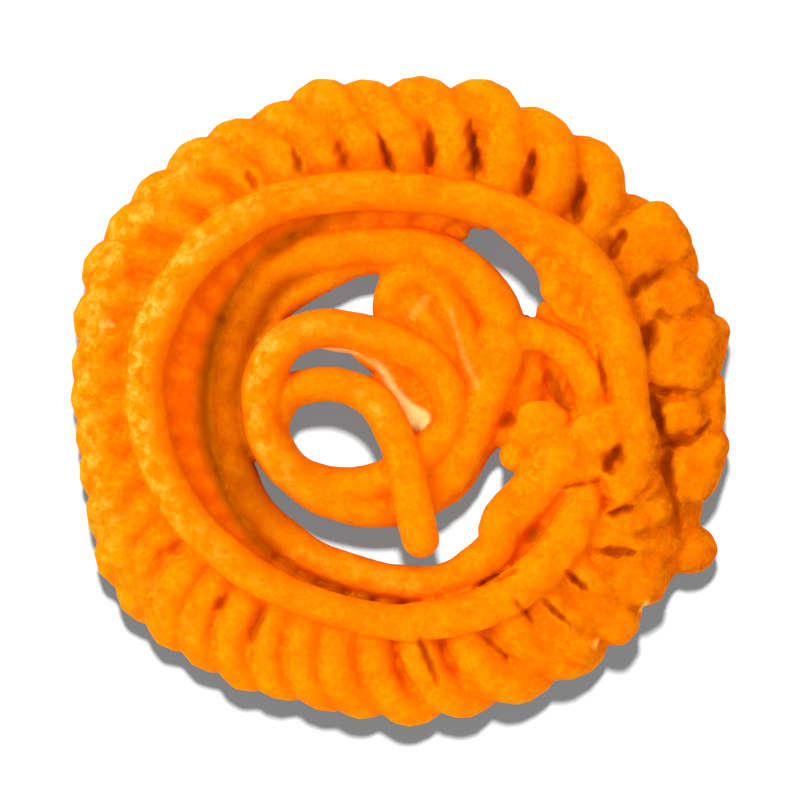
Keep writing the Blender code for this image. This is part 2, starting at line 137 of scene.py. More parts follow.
# The free stretches of the strand: x, y, height of the middle line, half thickness.
CENTRE = (
    (24.8, -8.3, 9.2, 3.8), (21.2, -12.6, 8.3, 3.8), (16.2, -18.0, 7.4, 3.7), (14.6, -22.6, 6.9, 3.2),
    (7.6, -27.2, 6.5, 2.8), (0.0, -27.6, 6.2, 2.8), (-9.0, -25.3, 5.9, 2.8), (-15.6, -21.9, 5.6, 2.8),
    (-22.6, -14.8, 5.2, 2.7), (-25.6, -3.0, 5.0, 2.6), (-24.4, 9.0, 5.3, 2.7), (-20.3, 18.0, 5.9, 2.9),
    (-14.4, 21.6, 6.3, 3.0), (-6.0, 23.3, 6.7, 3.1), (1.5, 23.2, 6.9, 3.1), (7.2, 21.5, 6.9, 3.1),
    (12.5, 17.8, 6.8, 3.1), (15.7, 12.4, 6.8, 3.1), (15.8, 7.2, 6.9, 3.1), (13.5, 1.2, 7.0, 3.1),
    (11.0, -5.3, 6.6, 3.1), (7.4, -11.3, 6.0, 3.1), (2.3, -15.3, 5.6, 3.1), (-3.8, -16.2, 5.6, 3.1),
    (-10.5, -14.7, 6.1, 3.1), (-16.8, -10.4, 6.9, 3.1), (-20.4, -4.5, 7.6, 3.1), (-20.7, 2.3, 8.0, 3.1),
    (-18.0, 8.0, 8.1, 3.1), (-13.5, 10.4, 8.1, 3.0), (-8.3, 10.6, 8.0, 2.9), (-2.3, 9.2, 7.8, 3.0),
    (3.0, 6.6, 7.5, 3.0), (6.9, 2.3, 7.2, 3.0), (7.8, -2.8, 7.0, 3.0), (4.8, -7.2, 7.2, 3.1),
    (-1.8, -11.6, 7.2, 3.0), (-8.6, -13.0, 6.8, 2.9), (-15.6, -10.9, 6.2, 2.8), (-19.1, -4.8, 5.7, 2.8),
    (-17.6, 0.1, 5.9, 2.8), (-14.3, 2.0, 6.4, 2.7), (-9.6, 2.4, 7.0, 2.7), (-4.2, 0.3, 7.8, 2.8),
    (-1.1, -4.2, 8.6, 2.85), (0.8, -9.8, 9.5, 2.9), (2.1, -15.8, 9.9, 2.9), (3.2, -20.8, 9.2, 2.85),
)
INNER_TURN_EDGE = (
    (-23.4, 3.0, 4.6, 2.4), (-21.6, 9.0, 4.4, 2.5), (-18.0, 14.2, 4.4, 2.4), (-12.6, 18.0, 4.6, 2.4),
    (-6.0, 20.9, 5.0, 2.4), (1.0, 22.0, 5.4, 2.6),
)
TUCKED_LOOP = (
    (0.0, 8.3, 4.8, 2.9), (-1.2, 13.5, 5.2, 2.9), (-0.3, 17.3, 5.8, 2.9), (2.7, 18.9, 6.1, 2.9),
    (6.3, 17.0, 6.1, 2.8), (9.0, 12.5, 5.7, 2.6), (10.8, 7.5, 5.4, 2.5), (12.0, 3.0, 5.2, 2.5),
)
LOWER_STRAND = (
    (1.6, 14.6, 5.4, 3.0), (4.4, 11.2, 5.2, 3.0), (6.9, 7.4, 5.0, 2.8), (9.0, 2.5, 4.6, 2.4),
)
INNER_DOUBLING = (
    (-5.0, 7.7, 6.4, 2.2), (-1.9, 5.2, 5.6, 2.4), (1.0, 2.5, 5.2, 2.5), (4.6, 0.4, 5.2, 2.5),
    (6.9, -3.6, 5.4, 2.5), (4.5, -8.0, 5.6, 2.6),
)
SIDE_STRAND = (
    (16.4, 4.0, 5.0, 2.6), (15.4, -1.5, 4.8, 2.6), (12.4, -6.8, 4.6, 2.4), (9.0, -11.6, 4.6, 2.4),
    (4.5, -15.0, 4.8, 2.6),
)
BRIDGE = (
    (15.0, 10.0, 6.4, 2.8), (20.2, 9.8, 7.2, 2.7), (25.0, 7.6, 7.8, 2.7), (28.4, 3.6, 8.2, 2.8),
    (29.0, -0.4, 8.2, 2.8), (27.8, -4.4, 8.0, 2.8),
)
BRIDGE_LOWER = (
    (18.6, 10.6, 4.4, 2.5), (20.2, 5.6, 4.2, 2.6), (19.6, 1.0, 4.4, 2.6), (19.6, -5.0, 6.0, 2.8),
)
PIT_FLOOR = (
    (20.0, 7.0, 3.0, 2.6), (23.6, 4.6, 3.1, 2.9), (25.0, -0.6, 3.3, 3.2), (26.0, -8.0, 3.6, 3.2),
    (22.0, -18.0, 3.6, 3.2), (16.0, -24.0, 4.0, 2.8), (8.0, -27.4, 4.6, 2.4),
)
GROOVE_FLOOR = (
    (22.6, 13.2, 5.4, 2.0), (27.0, 10.4, 6.2, 2.4), (29.8, 6.0, 6.4, 2.4), (30.8, 1.0, 7.0, 2.4),
    (30.6, -4.0, 7.6, 2.6),
)
TOP_FILLING = (
    (-12.0, 26.2, 4.6, 2.4), (-6.0, 27.8, 4.6, 2.4), (0.0, 27.8, 4.6, 2.4), (5.0, 27.0, 4.4, 2.2),
    (8.6, 25.8, 4.4, 2.0),
)
LOWER_FILLING = (
    (-24.0, -13.0, 3.6, 2.2), (-20.7, -18.4, 3.4, 2.4), (-15.0, -24.6, 3.4, 2.4), (-7.5, -28.8, 3.4, 2.4),
    (0.0, -30.2, 3.6, 2.4), (8.0, -30.2, 4.2, 2.4), (15.0, -27.0, 4.8, 2.6), (20.4, -21.0, 4.8, 2.8),
    (24.0, -14.0, 4.8, 2.8),
)
LEFT_FILLING = (
    (-22.6, 15.6, 3.4, 2.3), (-26.2, 8.0, 3.3, 2.6), (-27.8, 0.0, 3.3, 2.6), (-27.0, -7.6, 3.3, 2.6),
    (-24.0, -13.0, 3.6, 2.4),
)
FORK_FILLING = (
    (24.0, -15.6, 7.4, 2.2), (20.2, -21.2, 6.2, 2.0), (14.4, -26.4, 5.8, 2.2),
)
RING_DOUBLING = (
    (15.6, 26.9, 8.6, 2.0), (19.7, 23.8, 8.6, 2.3), (22.4, 20.8, 8.6, 2.4), (23.8, 17.4, 8.6, 2.4),
    (25.6, 14.2, 8.4, 2.4), (29.0, 12.0, 8.4, 2.4), (31.4, 7.6, 8.6, 2.2), (32.6, 2.0, 8.6, 2.2),
)

# Frill loops, anticlockwise from the right: angle in degrees and outer reach of each.
LOOPS = (
    (0, 47.0), (11, 47.0), (22, 47.4), (35, 48.3), (51, 49.2), (62, 48.6), (74, 49.6), (86, 48.6),
    (97, 47.9), (105, 49.2), (114, 48.2), (123, 49.0), (131, 50.3), (140, 50.6), (148, 51.0),
    (156, 51.6), (165, 50.7), (173, 49.5), (180, 49.3), (187, 49.0), (194, 49.4), (202, 50.5),
    (210, 51.9), (217, 51.9), (225, 51.2), (232, 50.5), (240, 49.7), (247, 48.6), (255, 48.0),
    (263, 47.8), (272, 48.7), (283, 48.6), (294, 49.0), (305, 49.2), (315, 48.7), (324.5, 48.6),
    (335, 48.6), (350, 49.6),
)

# Lumps, each drawn out away from the middle: x, y, height of its middle, then half its length
# outward, half its width and half its depth.
LUMPS = (
    (17.4, -8.2, 7.6, 2.4, 2.5, 2.8), (19.0, -5.6, 8.0, 2.8, 2.6, 3.0), (28.2, 6.6, 3.4, 3.6, 4.4, 2.6),
    (16.4, -5.4, 5.2, 1.8, 2.2, 2.6), (43.9, -22.3, 4.4, 4.1, 3.9, 3.7), (20.4, 22.8, 9.4, 2.2, 2.0, 2.2),
    (24.4, 20.6, 9.6, 2.4, 2.4, 2.3), (26.8, 18.6, 9.6, 2.2, 2.8, 2.3), (23.6, 17.0, 8.8, 2.4, 2.4, 2.4),
    (25.6, 15.4, 9.0, 2.2, 2.2, 2.3), (15.0, -36.8, 6.6, 2.0, 2.2, 2.4), (40.0, -24.0, 4.4, 2.8, 3.4, 3.0),
    (2.2, -4.9, 5.0, 1.6, 1.4, 1.6),
)

# Broad chunks on the right side, where the batter ran together: x, y, height of its middle, then
# half its length, half its width, half its depth and the heading of its length in degrees.
CHUNKS = (
    (21.4, -3.4, 8.6, 4.0, 3.2, 3.2, -6), (25.4, -8.0, 8.7, 6.0, 4.2, 3.2, -4),
    (30.2, -4.6, 9.5, 4.2, 3.4, 3.2, 30), (22.4, -9.6, 8.2, 3.6, 3.2, 3.0, 40),
    (34.8, -11.4, 8.0, 4.8, 4.2, 3.6, -62), (36.0, -17.2, 6.9, 5.8, 3.3, 3.5, 24),
    (34.0, -26.6, 6.7, 6.4, 4.3, 3.5, -4), (30.4, -31.8, 6.4, 6.2, 3.2, 3.2, -36),
    (24.4, -35.4, 6.4, 5.8, 3.6, 3.2, -24), (42.6, 7.3, 6.5, 6.3, 5.4, 4.3, 72),
    (45.6, 8.2, 5.2, 5.0, 3.8, 3.6, 78), (42.6, -2.4, 6.4, 3.6, 2.8, 3.4, 10),
    (46.6, -0.8, 4.8, 5.0, 2.6, 3.4, 86), (44.8, -9.7, 5.0, 6.2, 3.9, 4.2, 70),
    (42.6, -17.0, 3.5, 3.6, 3.0, 3.0, 80), (40.4, 15.2, 6.9, 5.4, 3.8, 3.6, 22),
    (44.0, 14.6, 5.0, 3.4, 3.4, 3.4, 22), (37.4, 23.6, 6.8, 6.0, 5.4, 3.6, 32),
    (39.8, 21.8, 5.4, 4.4, 5.6, 3.4, 32), (33.6, -21.8, 5.6, 4.0, 4.0, 3.0, 0),
)
CHUNK_ROUNDING = 0.62               # how far in its edges are rounded, against its half sizes

# Slits between the turns, and between the chunks: from x, y to x, y, then width and depth.
SLITS = (
    (31.2, 21.4, 34.0, 25.8, 1.2, 2.4), (33.8, 15.6, 40.0, 19.4, 0.64, 1.8),
    (36.9, 6.4, 38.4, 12.6, 1.5, 1.3), (37.6, 12.8, 41.4, 12.4, 1.2, 1.2),
    (38.0, 1.2, 39.8, -6.4, 1.7, 1.7), (38.4, -7.0, 45.4, -5.6, 0.8, 2.2),
    (44.0, -6.2, 47.2, -2.8, 0.64, 1.4), (40.0, -5.6, 41.0, -16.0, 1.3, 1.6),
    (30.9, -11.2, 33.5, -6.6, 1.6, 2.8), (30.8, -17.4, 35.6, -15.7, 0.9, 2.0),
    (33.0, -16.7, 39.4, -11.6, 0.9, 0.7), (29.6, -22.6, 36.0, -22.9, 0.7, 1.9),
    (25.0, -25.6, 28.6, -28.8, 0.7, 2.2), (21.4, -29.8, 26.0, -34.0, 0.56, 1.5),
    (24.0, -32.6, 31.0, -36.4, 1.2, 0.5), (29.8, 8.6, 31.3, 0.6, 0.64, 1.2),
    (24.0, -13.2, 30.6, -12.0, 0.48, 1.0), (37.8, 1.2, 45.0, 1.6, 0.64, 1.3),
    (41.0, -13.4, 42.4, -21.0, 1.1, 1.8), (17.0, -29.6, 20.2, -33.6, 0.64, 1.2),
    (12.0, -35.0, 16.8, -39.0, 0.56, 1.1), (22.6, 4.8, 25.0, -1.6, 1.6, 1.8),
    (19.2, -21.4, 21.8, -18.8, 1.3, 1.3), (11.6, -28.0, 18.4, -25.2, 0.56, 1.4),
    (15.0, -3.6, 17.4, -2.4, 1.2, 1.2),
)
# The same between the loops of the frill: angle and distance of the outer end and of the inner
# end, then width and depth.
FRILL_SLITS = (
    (26.5, 42.6, 24.2, 38.0, 1.2, 2.0), (37.0, 42.4, 34.0, 38.0, 1.2, 2.0),
    (51.0, 43.8, 45.0, 37.6, 1.6, 2.2), (62.0, 43.4, 58.0, 36.0, 1.1, 2.0),
    (76.0, 43.8, 71.5, 35.6, 1.6, 2.4), (84.0, 41.8, 82.0, 35.4, 0.96, 2.0),
    (94.5, 40.6, 91.5, 34.2, 0.96, 2.0), (104.0, 41.0, 102.5, 35.4, 0.96, 1.8),
    (113, 41.4, 113.5, 37.0, 0.96, 1.5), (124, 41.8, 124, 38.4, 0.96, 1.1),
    (213, 44.4, 213, 38.8, 0.96, 0.8), (228.5, 43.0, 228.5, 38.8, 0.96, 1.1),
    (238.6, 44.0, 236.5, 36.4, 0.96, 1.4), (278.0, 43.6, 274.6, 35.6, 0.96, 1.4),
)
# A thin film of batter drawn out from the coil and ending in a drop: stations like those above.
FILM = (
    (-12.6, 8.4, 6.9, 0.6), (-9.8, 7.8, 6.6, 0.6), (-6.0, 7.35, 6.5, 0.6), (-3.6, 5.9, 6.5, 0.6),
    (-2.4, 4.2, 6.6, 0.6), (-0.7, 1.3, 6.4, 0.65), (1.1, -0.8, 6.2, 0.9), (2.8, -2.7, 5.9, 1.7),
)
# Painted highlights: pale glints, three beside the film and three on the rim: from x, y to x, y, then
# width and how strongly each shows.
GLINT_HIGHLIGHTS = (
    (1.9, 12.9, 3.7, 15.3, 1.0, 0.24), (7.6, 13.4, 9.4, 7.0, 0.5, 0.24),
    (9.4, 7.0, 11.5, 2.2, 0.7, 0.34), (-44.9, 11.4, -43.1, 11.4, 0.3, 0.9),
    (36.2, -31.4, 37.0, -30.2, 0.3, 0.8), (29.2, -36.8, 29.6, -35.8, 0.3, 0.7),
)


def smooth_route(stations, steps=5):
    """Points of a smooth line through the stations, each a place and a half thickness."""
    line = [Vector(station) for station in stations]
    line = [2 * line[0] - line[1]] + line + [2 * line[-1] - line[-2]]
    route = []
    for before, here, there, after in zip(line, line[1:], line[2:], line[3:]):
        for step in range(steps):
            t = step / steps
            point = 2 * here
            point += (there - before) * t
            point += (2 * before - 5 * here + 4 * there - after) * t ** 2
            point += (3 * here - before - 3 * there + after) * t ** 3
            route.append(point / 2)
    route.append(line[-2])
    return route


def round_nose(end, next_to_end):
    """Points that carry a strand on past its end and close it roundly."""
    outward = (end.xyz - next_to_end.xyz).normalized()
    nose = []
    for degrees in NOSE_TURNS:
        turn = math.radians(degrees)
        place = end.xyz + outward * end.w * math.sin(turn)
        nose.append(Vector((*place, end.w * math.cos(turn))))
    return nose


def strand(route):
    """A closed, round-ended strand, drawn out ring by ring along a route."""
    route = round_nose(route[0], route[1])[::-1] + route + round_nose(route[-1], route[-2])
    ahead = [(there.xyz - here.xyz).normalized() for here, there in zip(route, route[1:])]
    headings = [ahead[0]] + [(a + b).normalized() for a, b in zip(ahead, ahead[1:])] + [ahead[-1]]
    turn = headings[0].to_track_quat("Z", "Y")
    spots = []
    for heading, last, station in zip(headings, headings[:1] + headings, route):
        turn = last.rotation_difference(heading) @ turn
        spots.append(Matrix.LocRotScale(station.xyz * MM, turn, Vector((1, 1, 1)) * station.w * MM))
    bm = bmesh.new()
    bmesh.ops.create_circle(bm, cap_ends=True, segments=STRAND_SIDES, radius=1.0, matrix=spots[0])
    rim = bm.edges[:]
    for here, there in zip(spots, spots[1:]):
        drawn = bmesh.ops.extrude_edge_only(bm, edges=rim)["geom"]
        points = {item for item in drawn if isinstance(item, bmesh.types.BMVert)}
        rim = [item for item in drawn if isinstance(item, bmesh.types.BMEdge)
               and item.verts[0] in points and item.verts[1] in points]
        bmesh.ops.transform(bm, verts=list(points), matrix=there @ here.inverted())
    bmesh.ops.contextual_create(bm, geom=rim)
    bmesh.ops.recalc_face_normals(bm, faces=bm.faces)
    mesh = bpy.data.meshes.new("strand")
    bm.to_mesh(mesh)
    bm.free()
    return mesh


def share_of(stretch, degrees):
    """How fully a stretch's change holds at an angle, from 0 to 1."""
    middle, sets_in, full = stretch
    away = abs((degrees - middle + 180) % 360 - 180)
    share = min(max((sets_in - away) / (sets_in - full), 0.0), 1.0)
    return share * share * (3 - 2 * share)


def ring_route():
    """The ring that lies on top of the frill."""
    stations = []
    for degrees, distance, half in RING:
        turn = math.radians(degrees)
        height = RING_HEIGHT - END_DROP * share_of(RING_END, degrees)
        stations.append((distance * math.cos(turn), distance * math.sin(turn), height, half))
    return smooth_route(stations)


def frill_route():
    """Loop after loop round the sweet, each leaning on the one before it."""
    chance = random.Random(SEED)
    route = []
    turns = [*LOOPS[::-1], (LOOPS[0][0] - LAST_TURN, LOOPS[0][1])]
    for (angle, reach), (next_angle, next_reach) in zip(turns, turns[1:]):
        lift = chance.uniform(-LOOP_LIFT, LOOP_LIFT)
        swell = chance.uniform(*LOOP_SWELL)
        for step in range(LOOP_STEPS):
            part = step / LOOP_STEPS
            degrees = angle + (next_angle - angle) * part
            half = FRILL_STRAND + swell
            half += (TOP_SWELL * share_of(THICK_TOP, degrees)
                     + CORNER_SWELL * share_of(THICK_CORNER, degrees))
            inner = FRILL_REACH + (REACH_LEFT - FRILL_REACH) * share_of(LEFT_STRETCH, degrees)
            inner += (REACH_TOP - inner) * share_of(TOP_STRETCH, degrees) + FRILL_STRAND
            outer = reach + (next_reach - reach) * part + SKIN_DRAW - FRILL_STRAND
            sunk = (FRILL_RISE - RISE_RIGHT) * share_of(RIGHT_STRETCH, degrees)
            wave = 2 * math.pi * part
            distance = (outer + inner) / 2 + (outer - inner) / 2 * math.cos(wave)
            turn = math.radians(degrees) - FRILL_LEAN * math.sin(wave) / distance
            height = FRILL_MIDDLE - sunk + lift + (FRILL_RISE - sunk + lift) * math.sin(wave)
            route.append(Vector((distance * math.cos(turn), distance * math.sin(turn), height, half)))
    return route


def fused(degrees, further):
    """How far the loops have run together at an angle, from 0 to 1."""
    return max(share_of(stretch, degrees) for stretch in (FUSED_LEFT, FUSED_RIGHT, further))


def core_route(distance):
    """Batter inside the frill, so that nothing in it is left hollow."""
    route = []
    for degrees in range(0, 361, CORE_STEP):
        turn = math.radians(degrees)
        place = (distance * math.cos(turn), distance * math.sin(turn))
        height = CORE_HEIGHT + FUSED_RISE * fused(degrees, FUSED_TOP)
        route.append(Vector((*place, height, CORE_STRAND)))
    return route


def rim_route():
    """Batter just inside the outer ends of the loops, where they have run together."""
    stations = []
    for angle, reach in (*LOOPS, (360 + LOOPS[0][0], LOOPS[0][1])):
        turn = math.radians(angle)
        distance = reach - RIM_INSET
        height = RIM_HEIGHT + FUSED_RISE * fused(angle, FUSED_TIPS)
        half = RIM_STRAND + RIM_SWELL * share_of(FUSED_LEFT, angle)
        stations.append((distance * math.cos(turn), distance * math.sin(turn), height, half))
    return smooth_route(stations)


def lump(x, y, height, length, width, depth):
    """An egg-shaped lump, drawn out away from the middle."""
    bm = bmesh.new()
    grow = Matrix.Diagonal((length * MM, width * MM, depth * MM, 1.0))
    turn = Matrix.Rotation(math.atan2(y, x), 4, "Z")
    move = Matrix.Translation(Vector((x, y, height)) * MM)
    bmesh.ops.create_icosphere(bm, subdivisions=3, radius=1.0, matrix=move @ turn @ grow)
    mesh = bpy.data.meshes.new("lump")
    bm.to_mesh(mesh)
    bm.free()
    return mesh


def chunk(x, y, height, length, width, depth, heading):
    """A chunk of batter with rounded edges and a flattish top, turned to a heading."""
    bm = bmesh.new()
    bmesh.ops.create_cube(bm, size=2.0)
    bmesh.ops.bevel(bm, geom=bm.edges[:], offset=CHUNK_ROUNDING, segments=4, profile=0.5, affect="EDGES")
    grow = Matrix.Diagonal((length * MM, width * MM, depth * MM, 1.0))
    turn = Matrix.Rotation(math.radians(heading), 4, "Z")
    move = Matrix.Translation(Vector((x, y, height)) * MM)
    bmesh.ops.transform(bm, verts=bm.verts, matrix=move @ turn @ grow)
    mesh = bpy.data.meshes.new("chunk")
    bm.to_mesh(mesh)
    bm.free()
    return mesh


def finished(mesh, modifiers):
    """The mesh after a list of modifiers, each a type and its settings."""
    piece = bpy.data.objects.new("piece", mesh)
    bpy.context.collection.objects.link(piece)
    for kind, settings in modifiers:
        modifier = piece.modifiers.new(kind.title(), kind)
        for name, value in settings.items():
            setattr(modifier, name, value)
    evaluated = piece.evaluated_get(bpy.context.evaluated_depsgraph_get())
    result = bpy.data.meshes.new_from_object(evaluated)
    bpy.data.objects.remove(piece, do_unlink=True)
    return result


pieces = [strand(ring_route()), strand(frill_route()), strand(rim_route())]
for distance in CORE_DISTANCES:
    pieces.append(strand(core_route(distance)))
for stations in (CENTRE, INNER_TURN_EDGE, TUCKED_LOOP, LOWER_STRAND, INNER_DOUBLING, SIDE_STRAND,
                 BRIDGE, BRIDGE_LOWER, PIT_FLOOR, GROOVE_FLOOR, TOP_FILLING, LOWER_FILLING,
                 LEFT_FILLING, FORK_FILLING, RING_DOUBLING, FILM):
    pieces.append(strand(smooth_route(stations)))
for sizes in LUMPS:
    pieces.append(lump(*sizes))
for sizes in CHUNKS:
    pieces.append(chunk(*sizes))

bm = bmesh.new()
for mesh in pieces:
    bm.from_mesh(mesh)
batter = bpy.data.meshes.new("batter")
bm.to_mesh(batter)
bm.free()
batter = finished(batter, (
    ("REMESH", {"mode": "VOXEL", "voxel_size": GRAIN * MM}),
    ("SMOOTH", {"factor": 0.5, "iterations": 3}),
))


def drop_bubbles(bm):
    """Remove the skins of bubbles inside the batter, keeping the outer skin."""
    left = set(bm.verts)
    shells = []
    while left:
        start = left.pop()
        shell = {start}
        rim = [start]
        while rim:
            vert = rim.pop()
            for edge in vert.link_edges:
                neighbour = edge.other_vert(vert)
                if neighbour not in shell:
                    shell.add(neighbour)
                    rim.append(neighbour)
        left -= shell
        shells.append(shell)
    shells.sort(key=len)
    for shell in shells[:-1]:
        bmesh.ops.delete(bm, geom=list(shell), context="VERTS")


# Puffs and blisters of the fried crust: width and height in millimetres. The right side, where the
# batter ran together, is knobbier and rougher than the rest, and so are the inner ends of the loops
# in the pit on the left.
SWELLS = (8.0, 0.32)
KNOBS = (4.2, 0.34)
KNOBS_ELSEWHERE = 0.45              # share of the knobs' height outside the rough places
BLISTERS = (2.4, 0.06)
GRIT = (1.1, 0.035)
ROUGHER = 1.6                       # how much rougher the rough places are
ROUGH_STRETCH = (-15, 75, 40)
PIT_STRETCH = (160, 80, 60)
PIT_DISTANCES = (28.0, 35.6)
PIT_TOP = 9.0

SLIT_FLOOR = 4.8                    # the height that no slit goes below
SLIT_LEAST = 0.05                   # the least depth that is cut
SLIT_FACING = -0.1                  # how far up a skin has to face to be cut
SLIT_SPREAD = 0.64                  # half the spread of a slit's sides against its width
SLIT_TIP = 0.2                      # the share of its width that a slit keeps at its tips
SLIT_LEAN = 0.35                    # how much wider the frill's slits are at their inner end
SLIT_WOBBLE = 0.15                  # how unevenly a slit's edges run, against its width
SLIT_WAVES = ((2.3, 1.1), (-2.9, 1.9))  # radians per millimetre along x and y


def beside(points, start, end):
    """How far along a line the points lie, from 0 to 1, and how far from it, seen from above."""
    start, along = np.array(start), np.subtract(end, start)
    part = np.clip((points[:, :2] - start) @ along / (along @ along), 0, 1)
    return part, np.hypot(*(points[:, :2] - start - part[:, None] * along).T)


def slit_depths(points):
    """How far the slits sink each point of the upper skin."""
    lines = [(*line, 0.0) for line in SLITS]
    for out_angle, out_distance, in_angle, in_distance, width, depth in FRILL_SLITS:
        outer, inner = math.radians(out_angle), math.radians(in_angle)
        start = (out_distance * math.cos(outer), out_distance * math.sin(outer))
        end = (in_distance * math.cos(inner), in_distance * math.sin(inner))
        lines.append((*start, *end, width, depth, SLIT_LEAN))
    wobble = SLIT_WOBBLE * sum(np.sin(points[:, :2] @ np.array(wave)) for wave in SLIT_WAVES)
    sunk = np.zeros(len(points))
    for x, y, next_x, next_y, width, depth, lean in lines:
        part, away = beside(points, (x, y), (next_x, next_y))
        taper = np.sqrt(np.clip(4 * part * (1 - part), SLIT_TIP ** 2, 1)) * (1 - lean + 2 * lean * part)
        away = np.clip(away + wobble * width, 0, None)
        sunk = np.maximum(sunk, depth * taper * np.exp(-(away / (width * taper * SLIT_SPREAD)) ** 2))
    return sunk


def crust_rise(place):
    """How far the puffs and blisters lift the skin at a place."""
    heading = math.degrees(math.atan2(place.y, place.x))
    rough = share_of(ROUGH_STRETCH, heading)
    if PIT_DISTANCES[0] < math.hypot(place.x, place.y) < PIT_DISTANCES[1] and place.z < PIT_TOP:
        rough = max(rough, share_of(PIT_STRETCH, heading))
    rise = SWELLS[1] * noise.noise(place / SWELLS[0])
    rise += KNOBS[1] * noise.noise(place / KNOBS[0]) * max(rough, KNOBS_ELSEWHERE)
    rise += BLISTERS[1] * noise.noise(place / BLISTERS[0]) * (1 + ROUGHER * rough)
    rise += GRIT[1] * noise.noise(place / GRIT[0]) * (1 + ROUGHER * rough)
    return rise


bm = bmesh.new()
bm.from_mesh(batter)
drop_bubbles(bm)
bm.normal_update()
places = np.array([vert.co for vert in bm.verts]) / MM
for vert, sunk in zip(bm.verts, slit_depths(places)):
    above = vert.co.z - SLIT_FLOOR * MM
    if sunk > SLIT_LEAST and vert.normal.z > SLIT_FACING and above > 0:
        vert.co.z -= min(sunk * MM, above)
bm.normal_update()
for vert in bm.verts:
    vert.co += vert.normal * crust_rise(vert.co / MM) * MM
triangles = 2 * len(bm.faces)
bm.to_mesh(batter)
bm.free()
batter = finished(batter, [("DECIMATE", {"ratio": TRIANGLES / triangles})])

# The sweet rests on flats cut level where its lowest loops bulge below the table, and it is drawn
# out to fill the box of its sizes.
bm = bmesh.new()
bm.from_mesh(batter)
bmesh.ops.bisect_plane(bm, geom=bm.verts[:] + bm.edges[:] + bm.faces[:], dist=0.001 * MM,
                       plane_co=(0, 0, 0), plane_no=(0, 0, -1), clear_outer=True)
rims = [edge for edge in bm.edges if edge.is_boundary]
bmesh.ops.contextual_create(bm, geom=rims)
bmesh.ops.triangulate(bm, faces=bm.faces)
corners = np.array([vert.co for vert in bm.verts])
low, high = corners.min(axis=0), corners.max(axis=0)
growth = Matrix.Diagonal((*(np.array(cad_high - cad_low) / (high - low)), 1.0))
snug = Matrix.Translation(cad_low) @ growth @ Matrix.Translation(-Vector(low))
bmesh.ops.transform(bm, verts=bm.verts, matrix=snug)
bm.to_mesh(batter)
bm.free()
batter.shade_smooth()

SHELTER_REACH = 9.0                 # how far off the skin still gives shelter
SHELTER_RAYS = 24                   # rays sent out from each point
SHELTER_ROUNDS = 2                  # rounds of evening, for shelter, ridges and whole strands
RIDGE_ROUNDS = 14
STRAND_ROUNDS = 50
RAY_SCATTER = 0.2                   # radians by which a ray may stray from an even spread
RAY_START = 0.05                    # how far off the skin a ray starts


def open_sky(mesh):
    """For each point of a mesh, how much of the room in front of its skin is free, from 0 to 1."""
    chance = random.Random(SEED)
    spread = []
    for ray in range(SHELTER_RAYS):
        out = math.sqrt((ray + 0.5) / SHELTER_RAYS)
        turn = ray * math.pi * (3 - math.sqrt(5)) + chance.uniform(-RAY_SCATTER, RAY_SCATTER)
        spread.append(Vector((out * math.cos(turn), out * math.sin(turn), math.sqrt(1 - out * out))))
    tree = BVHTree.FromPolygons([vert.co for vert in mesh.vertices],
                                [tuple(face.vertices) for face in mesh.polygons])
    reach = SHELTER_REACH * MM
    free = []
    for vert in mesh.vertices:
        turn = vert.normal.to_track_quat("Z", "Y")
        start = vert.co + vert.normal * RAY_START * MM
        seen = 0.0
        for direction in spread:
            distance = tree.ray_cast(start, turn @ direction, reach)[3]
            seen += 1.0 if distance is None else (distance / reach) ** 2
        free.append(seen / SHELTER_RAYS)
    return np.array(free)


def neighbour_mean(mesh, values, rounds):
    """Values at a mesh's points, evened out with their neighbours."""
    edges = np.array([tuple(edge.vertices) for edge in mesh.edges])
    count = np.bincount(edges.ravel(), minlength=len(values)).reshape(-1, *[1] * (values.ndim - 1))
    for _ in range(rounds):
        total = np.zeros_like(values)
        np.add.at(total, edges[:, 0], values[edges[:, 1]])
        np.add.at(total, edges[:, 1], values[edges[:, 0]])
        values = (values + total) / (count + 1)
    return values


def give(mesh, name, values):
    """Keep a value for each point of a mesh, for its material to read."""
    mesh.attributes.new(name, "FLOAT", "POINT").data.foreach_set("value", values.astype(np.float32))


def within(values, low, high, soft):
    """How fully values lie between two limits, from 0 to 1."""
    rising = np.clip((values - low) / soft + 0.5, 0, 1)
    falling = np.clip((high - values) / soft + 0.5, 0, 1)
    return rising * falling


give(batter, "openness", neighbour_mean(batter, open_sky(batter), SHELTER_ROUNDS))
points = np.array([vert.co for vert in batter.vertices])
normals = np.array([vert.normal for vert in batter.vertices])
evened = neighbour_mean(batter, points, RIDGE_ROUNDS)
give(batter, "proud", ((points - evened) * normals).sum(axis=1) / MM)
evened = neighbour_mean(batter, evened, STRAND_ROUNDS)
raised = ((points - evened) * normals).sum(axis=1) / MM
give(batter, "raised", raised)

places = points / MM
distances = np.hypot(places[:, 0], places[:, 1])
angles = np.degrees(np.arctan2(places[:, 1], places[:, 0])) % 360
heights = places[:, 2]


def zone(distance, angle, height):
    """How fully the points lie in a zone, given by three ranges with their softness."""
    return within(distances, *distance) * within(angles, *angle) * within(heights, *height)
